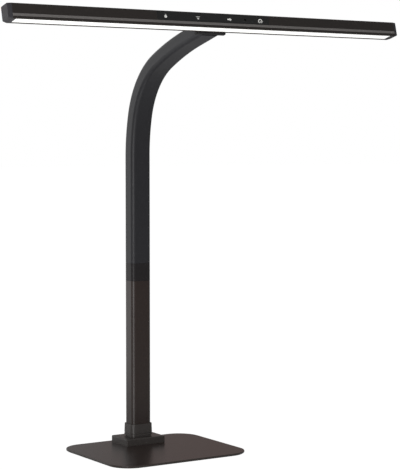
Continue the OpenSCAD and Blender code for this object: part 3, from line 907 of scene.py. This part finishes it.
def ferrule_walls(sizes, fits, bore):
    """Shell of the ferrule: the flush band on the post, the spigot under it that stands in the post, and
    the neck's bore with a web across it."""
    corner, seam = sizes.post_corner, sizes.seam_edge
    width, depth = span("lower_post")[1][:2]
    seat = heights("lower_post")[1]
    low, top = heights("neck_ferrule")
    spigot = sizes.post_wall + fits.fit
    inside = spigot + fits.spigot_wall
    rims = [quarter(seam, seat, up=False), quarter(seam, top)]
    side = np.concatenate([[(spigot, low), (spigot, seat)], *rims])
    outer = levels(width, depth, corner, side)
    web_top, web_low = top - fits.web_top, top - fits.web_low
    across = np.array([2 * bore, 2 * bore, fits.web_hole, fits.web_hole])
    inner = stack(outline(across, across, across / 2), np.array([top, web_top, web_top, web_low]))
    below = levels(width, depth, corner, [(inside, web_low), (inside, low)])
    return shell(np.concatenate([outer, inner, below]), "loop")


class LAMP_OT_post(Operator):
    """Builds the lower post, the two screws in its back and the ferrule band above it"""

    bl_idname = "lamp.post"
    bl_label = "Post and ferrule"

    def execute(self, context):
        scene = context.scene
        sizes, fits, colours = scene.lamp_sizes, scene.lamp_fits, scene.lamp_colours
        corner, wall = sizes.post_corner, sizes.post_wall
        width, depth = span("lower_post")[1][:2]
        low, top = heights("lower_post")
        outer = levels(width, depth, corner, np.concatenate([[(0, low)], quarter(sizes.seam_edge, top)]))
        inner = levels(width, depth, corner, [(wall, top), (wall, low)])
        tube = [shell(np.concatenate([outer, inner]), "loop")]
        head = span("spigot_screws")[1][0] / 2
        screws_low, screws_top = heights("spigot_screws")
        places = [(0, depth / 2, z) for z in (screws_low + head, screws_top - head)]
        room = spun([(head + fits.fit, -3 * wall), (head + fits.fit, wall)])
        holes = [shell(facing_back(room, *place)) for place in places]
        coat = powder_coat("powder_coated_post", colours.post, rough=(0.28, 0.36))
        piece("post_tube", tube, coat, ["lower_post"], "base", holes=holes)
        form = socket_screw(head, fits.post_head, fits.screw_shank, fits.post_shank)
        screws = [shell(facing_back(form, *place)) for place in places]
        piece("post_back_screws", screws, black_oxide(), ["spigot_screws"], "base")

        band = [ferrule_walls(sizes, fits, scene.lamp_neck.bore)]
        anodised = black_anodised(colours.ferrule)
        piece("ferrule_band", band, anodised, ["neck_ferrule"], "base")
        return {"FINISHED"}


class LAMP_OT_neck(Operator):
    """Builds the gooseneck's skin in stretches, each of which spans one hinge"""

    bl_idname = "lamp.neck"
    bl_label = "Gooseneck skin"

    def execute(self, context):
        sizes, colours, neck = context.scene.lamp_sizes, context.scene.lamp_colours, context.scene.lamp_neck
        rubber = soft_silicone(colours.neck)
        width, depth = span("lower_post")[1][:2]
        whole = neck_length(neck)
        links = [body for body in frame["bodies"] if body.startswith("neck_")]
        count = len(links) + 1
        pitch = (whole - neck.stub) / (count - 1)
        bore = outline(2 * neck.bore, 2 * neck.bore, neck.bore)

        for k in range(count):
            low, high = max(0, (k - 0.5) * pitch), (k + 0.5) * pitch
            stop = whole if k == count - 1 else high
            s = np.linspace(low, stop, SKIN_RINGS + 1)
            inset = np.zeros_like(s)
            if k == 0:
                foot = quarter(sizes.seam_edge, 0, up=False)
                s, inset = np.concatenate([foot[:, 1], s[1:]]), np.concatenate([foot[:, 0], inset[1:]])
            # The depth tapers evenly from the end of the rise to the tip
            taper = np.maximum(0, s - neck.rise) / (whole - neck.rise)
            deep = depth - (depth - neck.tip_depth) * taper
            outside = outline(width - 2 * inset, deep - 2 * inset, sizes.post_corner - inset)
            rings = np.concatenate([carried(neck, s, outside), carried(neck, s[::-1], bore)])
            skin = [shell(rings, "loop")]
            stretch = piece(f"neck_skin_{k + 1:02d}", skin, rubber, [f"neck_sleeve_{k + 1}"])
            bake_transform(stretch)
        return {"FINISHED"}


class LAMP_OT_mount(Operator):
    """Builds the plate and stub that carry the light bar on the neck, and their screws"""

    bl_idname = "lamp.mount"
    bl_label = "Mounting plate"

    def execute(self, context):
        sizes, fits, neck = context.scene.lamp_sizes, context.scene.lamp_fits, context.scene.lamp_neck
        thick = neck.mount_thick
        low, high = bar_box(neck, "head_bracket")
        block = slab(high[0] - low[0], high[2] - low[2], 0, thick, sizes.mount_corner, sizes.mount_edge)
        plate = facing_back(block, 0, 0, neck.drop)
        ball, lip, bore, radius = fits.ball, fits.ball_lip, fits.stub_bore, fits.stub_radius
        a = np.linspace(math.acos(bore / ball), -math.asin(lip / ball), 3 * EDGE_STEPS)
        socket = np.stack([ball * np.cos(a), ball * np.sin(a)], -1)
        end = neck.stub + thick / 2
        profile = np.concatenate([[(radius, -lip), (radius, end), (bore, end)], socket])
        stub = facing_front(spun(profile), 0, thick + neck.stub, neck.drop)

        low, high = bar_box(neck, "bracket_screws")
        head, up, face = (high[2] - low[2]) / 2, (high[2] + low[2]) / 2, high[1]
        across = (low[0] + head, high[0] - head)
        room = head + fits.fit
        room = spun([(room, face - fits.mount_head - thick), (room, thick)])
        holes = [shell(on_bar(neck, facing_back(room, x, thick, up))) for x in across]
        shells = [shell(on_bar(neck, plate)), shell(on_bar(neck, stub), "loop")]
        piece("mount_plate", shells, painted_steel(), ["head_bracket"], "head", holes=holes)
        shank_long = high[1] - low[1] - fits.mount_head
        form = socket_screw(head, fits.mount_head, fits.screw_shank, shank_long)
        screws = [shell(on_bar(neck, facing_back(form, x, face, up))) for x in across]
        piece("mount_screws", screws, black_oxide(), ["bracket_screws"], "head")
        return {"FINISHED"}


def beam(low, high, corner, side=1):
    """Block in the bar's frame from one corner to the other, with its edges along X rounded: rings that
    stand along +X, or along -X where side is -1."""
    low, high = np.asarray(low), np.asarray(high)
    size, middle = high - low, (low + high) / 2
    flat = outline(np.full(2, size[1]), np.full(2, size[2]), np.full(2, corner))
    across, up, along = np.moveaxis(stack(flat, np.array([-size[0] / 2, size[0] / 2])), -1, 0)
    return np.stack([side * (along + middle[0]), side * across + middle[1], up + middle[2]], -1)


class LAMP_OT_bar(Operator):
    """Finishes the light bar's housing and builds its end caps and the strip along its front"""

    bl_idname = "lamp.bar"
    bl_label = "Light bar"

    def execute(self, context):
        sizes, colours, neck = context.scene.lamp_sizes, context.scene.lamp_colours, context.scene.lamp_neck
        refinish("bar_housing", painted_extrusion(colours.bar))

        # The caps' lighter colour is partly painted light, standing for the light that falls on the bar's
        # left end
        plastic = moulded_abs("moulded_abs_cap_painted_light", colours.cap, rough=(0.45, 0.6))
        low, high = bar_box(neck, "bar_housing")
        body, end = high[0], bar_box(neck, "end_cap_right")[1][0]
        depth, height = high[1] - low[1], high[2] - low[2]
        step = sizes.seam_edge
        inset, out = np.concatenate([[(0, body), (0, body + step)], quarter(step, end)]).T
        drawn = np.clip((out - body - step) / (end - body - 2 * step), 0, 1)
        wide = depth - 2 * (inset + drawn * sizes.cap_side)
        tall = height - 2 * inset - drawn * sizes.cap_rise
        across, up, out = np.moveaxis(stack(outline(wide, tall, sizes.bar_edge), out), -1, 0)
        up = up + drawn[:, None] * sizes.cap_rise / 2
        board_low, board_high = bar_box(neck, "touch_board")
        glass_low, glass_high = bar_box(neck, "diffuser")
        root = body + step
        for name, side in (("left", -1), ("right", 1)):
            cover = np.stack([side * out, side * across - depth / 2, up + height / 2], -1)
            tongue_low = (body - sizes.cap_tongue, glass_low[1], board_low[2])
            tongue = beam(tongue_low, (root, glass_high[1], board_high[2]), step, side)
            shelf_low = (body - sizes.cap_shelf, glass_low[1] + sizes.lip, 0)
            shelf = beam(shelf_low, (root, glass_high[1] - sizes.lip, glass_low[2]), step / 2, side)
            shells = [shell(on_bar(neck, part)) for part in (cover, tongue, shelf)]
            piece(f"end_cap_{name}_cover", shells, plastic, [f"end_cap_{name}"], "head")

        strip = [shell(on_bar(neck, beam(*bar_box(neck, "front_trim"), sizes.strip_edge)))]
        piece("trim_strip", strip, brushed_strip(colours.trim), ["front_trim"], "head")
        return {"FINISHED"}


class LAMP_OT_touch(Operator):
    """Builds the touch panel in the bar's front with its printed symbols and the light sensor's window"""

    bl_idname = "lamp.touch"
    bl_label = "Touch panel"

    def execute(self, context):
        scene = context.scene
        sizes, fits, colours, neck = scene.lamp_sizes, scene.lamp_fits, scene.lamp_colours, scene.lamp_neck
        low, high = bar_box(neck, "touch_panel")
        front, thick = low[1], high[1] - low[1]
        block = slab(high[0] - low[0], high[2] - low[2], 0, thick, sizes.panel_corner, sizes.panel_edge)
        panel = facing_front(block, (low[0] + high[0]) / 2, high[1], (low[2] + high[2]) / 2)
        low, high = bar_box(neck, "sensor_window")
        sensor, sensor_x, line = (high[2] - low[2]) / 2, (low[0] + high[0]) / 2, (low[2] + high[2]) / 2
        room = sensor + fits.lens_fit
        room = spun([(room, -thick), (room, 2 * thick)])
        hole = shell(on_bar(neck, facing_front(room, sensor_x, front + thick, line)))
        face = [shell(on_bar(neck, panel))]
        acrylic = black_acrylic(colours.panel)
        piece("touch_panel_face", face, acrylic, ["touch_panel"], "head", holes=[hole])

        a = np.linspace(0, np.pi / 2, 2 * EDGE_STEPS)
        dome = np.stack([sensor * np.cos(a), thick - sizes.lens_dome * (1 - np.sin(a))], -1)
        lens = spun(np.concatenate([[(0, 0), (sensor, 0)], dome]))
        lens = [shell(on_bar(neck, facing_front(lens, sensor_x, front + thick, line)))]
        piece("sensor_lens", lens, smoked_lens(), ["sensor_window"], "head")

        ink = screen_ink(colours.ink)
        low, high = bar_box(neck, "touch_keys")
        key = (high[2] - low[2]) / 2
        drawn = symbols(sizes.ink)
        keys = np.linspace(low[0] + key, high[0] - key, len(drawn))
        for x, (name, marks) in zip(keys, drawn.items()):
            flat = [shell(on_bar(neck, facing_front(mark, x, front, line))) for mark in marks]
            piece(f"symbol_{name}", flat, ink, [], "head")
        return {"FINISHED"}


def stroke(points, width, thick):
    """Printed stroke: a rectangle carried along a path of (x, z) points, with its long side across the
    path. Path and width are in millimetres."""
    points = np.asarray(points, float) * MM
    along = np.gradient(points, axis=0)
    along /= np.linalg.norm(along, axis=1, keepdims=True)
    across = np.stack([-along[:, 1], along[:, 0]], -1) * width * MM / 2
    sides = np.stack([points - across, points + across, points + across, points - across], 1)
    up = np.broadcast_to(np.array([thick, thick, -thick, -thick]), sides.shape[:2])
    return np.concatenate([sides, up[..., None]], -1)


def dot(x, z, radius, thick, sides=32):
    """Printed disc, or polygon of fewer sides, round (x, z). Place and radius are in millimetres."""
    spot = spun([(radius * MM, -thick), (radius * MM, thick)], sides)
    return moved(spot, x * MM, z * MM)


def arc(radius, first, last, count=28):
    """Points of a circle from one angle to another, in degrees."""
    a = np.radians(np.linspace(first, last, count))
    return radius * np.stack([np.cos(a), np.sin(a)], -1)


def symbols(thick):
    """Plain symbols for the four keys, each as a list of printed marks: a bulb, a lamp with spread arms,
    an arrow and a power ring."""
    bulb = [dot(-0.7, -1.0, 2.6, thick), stroke([(-0.7, 2.0), (-0.7, 3.2)], 2.2, thick)]
    arms = [stroke([(side * 2.4 - 0.5, 0.6), (side * 0.6 - 0.5, -1.4)], 0.6, thick) for side in (-1, 1)]
    spread = [stroke([(-4.3, 1.4), (3.3, 1.4)], 0.6, thick), *arms, dot(-0.5, -2.3, 1.6, thick)]
    arrow = [dot(1.2, -1.0, 3.0, thick, 3), stroke([(-5.0, -1.0), (-0.4, -1.0)], 2.3, thick)]
    bow = arc(3.6, -55, 235) + (-0.4, -1.5)
    ring = [stroke(bow, 1.7, thick), stroke([(-0.4, -0.8), (-0.4, -4.2)], 0.9, thick)]
    return {"brightness": bulb, "tone": spread, "timer": arrow, "power": ring}


class LAMP_OT_light(Operator):
    """Builds the glowing opal diffuser in the bar's underside"""

    bl_idname = "lamp.light"
    bl_label = "Diffuser"

    def execute(self, context):
        scene = context.scene
        sizes, colours, neck = scene.lamp_sizes, scene.lamp_colours, scene.lamp_neck
        block = [shell(on_bar(neck, beam(*bar_box(neck, "diffuser"), sizes.strip_edge)))]
        opal = opal_acrylic(colours.diffuser, scene.lamp_light.glow)
        piece("diffuser_opal", block, opal, ["diffuser"], "head")
        return {"FINISHED"}


class LAMP_OT_inside(Operator):
    """Finishes the frame's own nodes that stay: fasteners, core links, wires and boards"""

    bl_idname = "lamp.inside"
    bl_label = "Inner parts"

    def execute(self, context):
        links = [name for name in frame["nodes"] if name.startswith("neck_link_")]
        kept = (
            (zinc_steel(), ["post_screws", "plinth_screws", "plug_screws", "anchor_nut", "nut_plate"]),
            (cast_aluminium(), ["post_plug"]),
            (turned_aluminium(), ["neck_anchor", *links]),
            (pvc_jacket(), ["post_wire", "bar_lead"]),
            (natural_nylon(), ["wire_connector"]),
            (phosphor_bronze(), ["touch_keys"]),
            (green_mask(), ["touch_board"]),
            (cast_epoxy(), ["light_sensor"]),
            (white_mask(), ["led_board"]),
            (phosphor_silicone(), ["led_chips"]),
        )
        for material, names in kept:
            for name in names:
                refinish(name, material)
        return {"FINISHED"}


# Studio


def soft_box(name, stand, radiance):
    """Area light on a stand of place, aim, and width and height, whose power is pi * area * radiance."""
    at, aim, (width, height) = stand
    light = bpy.data.lights.new(name, "AREA")
    light.shape, light.size, light.size_y = "RECTANGLE", width, height
    light.energy = math.pi * width * height * radiance
    obj = bpy.data.objects.new(name, light)
    bpy.context.scene.collection.objects.link(obj)
    obj.location = at
    way = np.asarray(aim) - np.asarray(at)
    flat = math.hypot(way[0], way[1])
    obj.rotation_euler = (math.atan2(flat, -way[2]), 0, math.atan2(-way[0], way[1]))
    obj.visible_camera = False
    return obj


def toward(tree, way, place, aside, full):
    """Level by direction: full where a unit vector points at a place in the studio, and another level
    aside of it, with a smooth step between the two cosines that the place is given with."""
    middle, spread = place
    facing = node(tree, "ShaderNodeVectorMath", {0: way, 1: middle}, operation="DOT_PRODUCT")
    facing = facing.outputs["Value"]
    step = {"Value": facing, "From Min": spread[0], "From Max": spread[1], "To Min": aside, "To Max": full}
    return node(tree, "ShaderNodeMapRange", step, interpolation_type="SMOOTHSTEP").outputs[0]


def paper_sweep(near):
    """Paper sweep, matt white: plain white to the eye, with a faint shadow under the lamp. The lamp mirrors
    it white toward the wall, dim elsewhere, and near its own foot by the given share of white."""
    made, tree = opened("white_paper_sweep")
    at = node(tree, "ShaderNodeTexCoord").outputs["Object"]
    tooth = {"Vector": at, "Scale": 1 / PAPER_TOOTH, "Detail": FINE_DETAIL}
    tooth = node(tree, "ShaderNodeTexNoise", tooth).outputs[0]
    tones = {MIX_SHARE: tooth, MIX_FIRST: shade(linear("#f2f2f2")), MIX_SECOND: shade(linear("#fafafa"))}
    tones = node(tree, "ShaderNodeMix", tones, data_type="RGBA").outputs[MIX_RESULT]
    matt = node(tree, "ShaderNodeBsdfDiffuse", {"Color": tones}).outputs[0]
    white = {"Color": shade(linear(WHITE)), "Strength": FLOOR_GLOW}
    white = node(tree, "ShaderNodeEmission", white).outputs[0]
    way = node(tree, "ShaderNodeVectorMath", {0: at}, operation="NORMALIZE").outputs[0]
    reach = node(tree, "ShaderNodeVectorMath", {0: at}, operation="LENGTH").outputs["Value"]
    first, last = NEAR_FLOOR
    away = toward(tree, way, WALL, 0, FLOOR_WHITE)
    lit = {"Value": reach, "From Min": first, "From Max": last, "To Min": near, "To Max": away}
    lit = node(tree, "ShaderNodeMapRange", lit, interpolation_type="SMOOTHSTEP").outputs[0]
    rays = node(tree, "ShaderNodeLightPath").outputs
    lit = node(tree, "ShaderNodeMath", {0: rays["Is Glossy Ray"], 1: lit}, operation="MULTIPLY").outputs[0]
    eye = {0: rays["Is Camera Ray"], 1: rays["Is Transmission Ray"]}
    eye = node(tree, "ShaderNodeMath", eye, operation="MAXIMUM").outputs[0]
    seen = node(tree, "ShaderNodeMath", {0: eye, 1: FLOOR_WHITE}, operation="MULTIPLY").outputs[0]
    share = node(tree, "ShaderNodeMath", {0: seen, 1: lit}, operation="MAXIMUM").outputs[0]
    both = node(tree, "ShaderNodeMixShader", {0: share, 1: matt, 2: white}).outputs[0]
    node(tree, "ShaderNodeOutputMaterial", {"Surface": both})
    return made


def studio(light):
    """World round the lamp: an even room with a low white wall and a warm side, plain white to the eye."""
    made = bpy.data.worlds.new("studio")
    made.use_nodes = True
    tree = made.node_tree
    tree.nodes.clear()
    way = node(tree, "ShaderNodeTexCoord").outputs["Generated"]
    low = {0: way, 1: (1, 1, WALL_LOW)}
    low = node(tree, "ShaderNodeVectorMath", low, operation="MULTIPLY").outputs[0]
    low = node(tree, "ShaderNodeVectorMath", {0: low}, operation="NORMALIZE").outputs[0]
    wall = toward(tree, low, WALL, light.room, light.wall)
    white, warm = shade(linear(WHITE)), shade(linear(WARM_WHITE))
    tint = {MIX_SHARE: toward(tree, way, WARM_SIDE, 0, 1), MIX_FIRST: white, MIX_SECOND: warm}
    tint = node(tree, "ShaderNodeMix", tint, data_type="RGBA").outputs[MIX_RESULT]
    rays = node(tree, "ShaderNodeLightPath").outputs
    eye = {0: rays["Is Camera Ray"], 1: rays["Is Transmission Ray"]}
    eye = node(tree, "ShaderNodeMath", eye, operation="MAXIMUM").outputs[0]
    strength = node(tree, "ShaderNodeMath", {0: wall, 1: eye}, operation="MAXIMUM").outputs[0]
    shown = {MIX_SHARE: eye, MIX_FIRST: tint, MIX_SECOND: white}
    shown = node(tree, "ShaderNodeMix", shown, data_type="RGBA").outputs[MIX_RESULT]
    sky = node(tree, "ShaderNodeBackground", {"Color": shown, "Strength": strength}).outputs[0]
    node(tree, "ShaderNodeOutputWorld", {"Surface": sky})
    return made


def photo_camera():
    """Camera where the photograph was taken from, with its angle of view."""
    lens = bpy.data.cameras.new("photo_camera")
    lens.sensor_width, lens.lens = SENSOR, FOCAL_PX * SENSOR / max(PHOTO_SIZE)
    camera = bpy.data.objects.new("photo_camera", lens)
    bpy.context.scene.collection.objects.link(camera)
    camera.location = CAMERA_AT
    camera.rotation_euler = (math.pi / 2 + CAMERA_PITCH, 0, -CAMERA_YAW)
    return camera


class LAMP_OT_stage(Operator):
    """Lays the pale floor, lights the studio and sets the camera where the photograph was taken from"""

    bl_idname = "lamp.stage"
    bl_label = "Studio and camera"

    def execute(self, context):
        scene, light = context.scene, context.scene.lamp_light
        scene.view_settings.view_transform = "Standard"
        corners = FLOOR_REACH * np.array([(-1, -1, 0), (1, -1, 0), (1, 1, 0), (-1, 1, 0)])
        sheet = bpy.data.meshes.new("floor")
        sheet.from_pydata(corners.tolist(), [], [[0, 1, 2, 3]])
        sheet.materials.append(paper_sweep(light.near))
        floor = bpy.data.objects.new("floor", sheet)
        scene.collection.objects.link(floor)

        scene.world = studio(light)
        soft_box("front_box", FRONT_BOX, light.front)
        soft_box("top_box", TOP_BOX, light.top)
        soft_box("floor_card", FLOOR_CARD, light.card)
        scene.camera = photo_camera()
        return {"FINISHED"}


STEPS = (
    LAMP_OT_base,
    LAMP_OT_foot,
    LAMP_OT_post,
    LAMP_OT_neck,
    LAMP_OT_mount,
    LAMP_OT_bar,
    LAMP_OT_touch,
    LAMP_OT_light,
    LAMP_OT_inside,
    LAMP_OT_stage,
)

GROUPS = {
    "lamp_sizes": LampSizes,
    "lamp_fits": LampFits,
    "lamp_neck": LampNeck,
    "lamp_colours": LampColours,
    "lamp_light": LampLight,
}


class LAMP_PT_build(Panel):
    """Lists the steps that build the lamp and the values that they read"""

    bl_idname = "LAMP_PT_build"
    bl_label = "Daylight desk lamp"
    bl_space_type = "VIEW_3D"
    bl_region_type = "UI"
    bl_category = "Lamp"

    def draw(self, context):
        for step in STEPS:
            self.layout.operator(step.bl_idname)
        for group in GROUPS:
            values = getattr(context.scene, group)
            box = self.layout.box()
            for name in values.__annotations__:
                box.prop(values, name)


def register():
    """Adds the classes, and the groups of values to the scene."""
    for group, kind in GROUPS.items():
        bpy.utils.register_class(kind)
        setattr(bpy.types.Scene, group, PointerProperty(type=kind))
    for step in STEPS:
        bpy.utils.register_class(step)
    bpy.utils.register_class(LAMP_PT_build)


def unregister():
    """Takes away what register added."""
    bpy.utils.unregister_class(LAMP_PT_build)
    for step in reversed(STEPS):
        bpy.utils.unregister_class(step)
    for group, kind in GROUPS.items():
        delattr(bpy.types.Scene, group)
        bpy.utils.unregister_class(kind)


def main():
    """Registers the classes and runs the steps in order."""
    register()
    bpy.ops.lamp.base()
    bpy.ops.lamp.foot()
    bpy.ops.lamp.post()
    bpy.ops.lamp.neck()
    bpy.ops.lamp.mount()
    bpy.ops.lamp.bar()
    bpy.ops.lamp.touch()
    bpy.ops.lamp.light()
    bpy.ops.lamp.inside()
    bpy.ops.lamp.stage()


if __name__ == "__main__":
    main()
